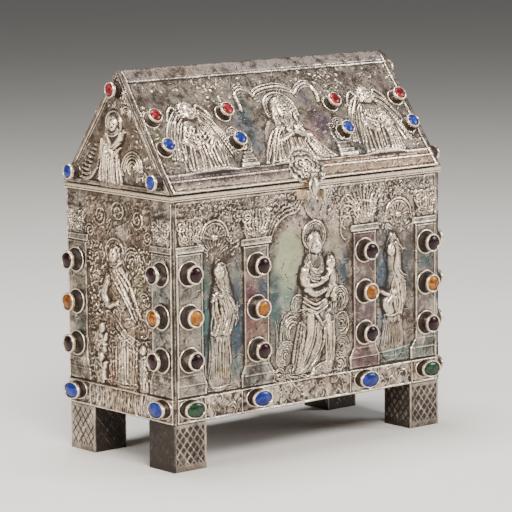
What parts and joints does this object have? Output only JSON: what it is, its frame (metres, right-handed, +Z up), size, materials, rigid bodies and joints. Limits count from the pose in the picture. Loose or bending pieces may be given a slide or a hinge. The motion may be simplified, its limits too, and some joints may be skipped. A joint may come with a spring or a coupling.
{
  "type": "reliquary casket",
  "caption": "House-shaped silver reliquary casket with relief figures, set stones, a gabled lid hinged along the back and a leaf-plate hasp at the front",
  "frame": {"origin": "on the ground under the middle of the casket, at the centre of the bottom of its bounding box", "axes": "X runs along the long front from left to right, Y from the front to the back, Z up"},
  "size_m": [0.2072, 0.1082, 0.2091],
  "materials": {
    "tarnished_silver": "worn, tarnished repousse silver",
    "pin_metal": "dark, worn",
    "garnet": "polished cabochon",
    "amber": "polished cabochon",
    "blue_glass": "polished cabochon",
    "green_glass": "polished cabochon",
    "red_glass": "polished cabochon"
  },
  "bodies": {
    "box": {"box_floor": "tarnished_silver", "front_wall": "tarnished_silver", "back_wall": "tarnished_silver", "left_end_wall": "tarnished_silver", "right_end_wall": "tarnished_silver", "rim_band": "tarnished_silver", "foot_front_left": "tarnished_silver", "foot_front_right": "tarnished_silver", "foot_back_left": "tarnished_silver", "foot_back_right": "tarnished_silver", "box_hinge_strip": "tarnished_silver", "hasp_keeper": "tarnished_silver", "hinge_pin": "pin_metal", "front_stone_1_1": "green_glass", "front_stone_1_2": "garnet", "front_stone_1_3": "amber", "front_stone_1_4": "garnet", "front_stone_2_1": "blue_glass", "front_stone_2_2": "garnet", "front_stone_2_3": "amber", "front_stone_2_4": "garnet", "front_stone_3_1": "blue_glass", "front_stone_3_2": "garnet", "front_stone_3_3": "amber", "front_stone_3_4": "garnet", "front_stone_4_1": "green_glass", "front_stone_4_2": "garnet", "front_stone_4_3": "amber", "front_stone_4_4": "garnet", "left_stone_1_1": "blue_glass", "left_stone_1_2": "garnet", "left_stone_1_3": "amber", "left_stone_1_4": "garnet", "left_stone_2_1": "blue_glass", "left_stone_2_2": "garnet", "left_stone_2_3": "amber", "left_stone_2_4": "garnet"},
    "lid": {"front_roof_slope": "tarnished_silver", "back_roof_slope": "tarnished_silver", "left_gable": "tarnished_silver", "right_gable": "tarnished_silver", "lid_hinge_strip": "tarnished_silver", "hasp_plate": "tarnished_silver", "hasp_pin": "pin_metal", "roof_stone_1_1": "blue_glass", "roof_stone_1_2": "red_glass", "roof_stone_2_1": "blue_glass", "roof_stone_2_2": "red_glass", "roof_stone_3_1": "blue_glass", "roof_stone_3_2": "red_glass", "roof_stone_4_1": "blue_glass", "roof_stone_4_2": "red_glass", "gable_stone_back": "blue_glass", "gable_stone_front": "blue_glass", "gable_stone_top": "red_glass"},
    "hasp": {"hasp": "tarnished_silver"}
  },
  "joints": [
    {"name": "lid_hinge", "type": "hinge", "parent": "box", "child": "lid", "pos_m": [0, 0.0488, 0.14655], "axis": [-1, 0, 0], "range_deg": [0, 100]},
    {"name": "hasp_hinge", "type": "hinge", "parent": "lid", "child": "hasp", "pos_m": [0, -0.04807, 0.15002], "axis": [-1, 0, 0], "range_deg": [0, 110]}
  ]
}
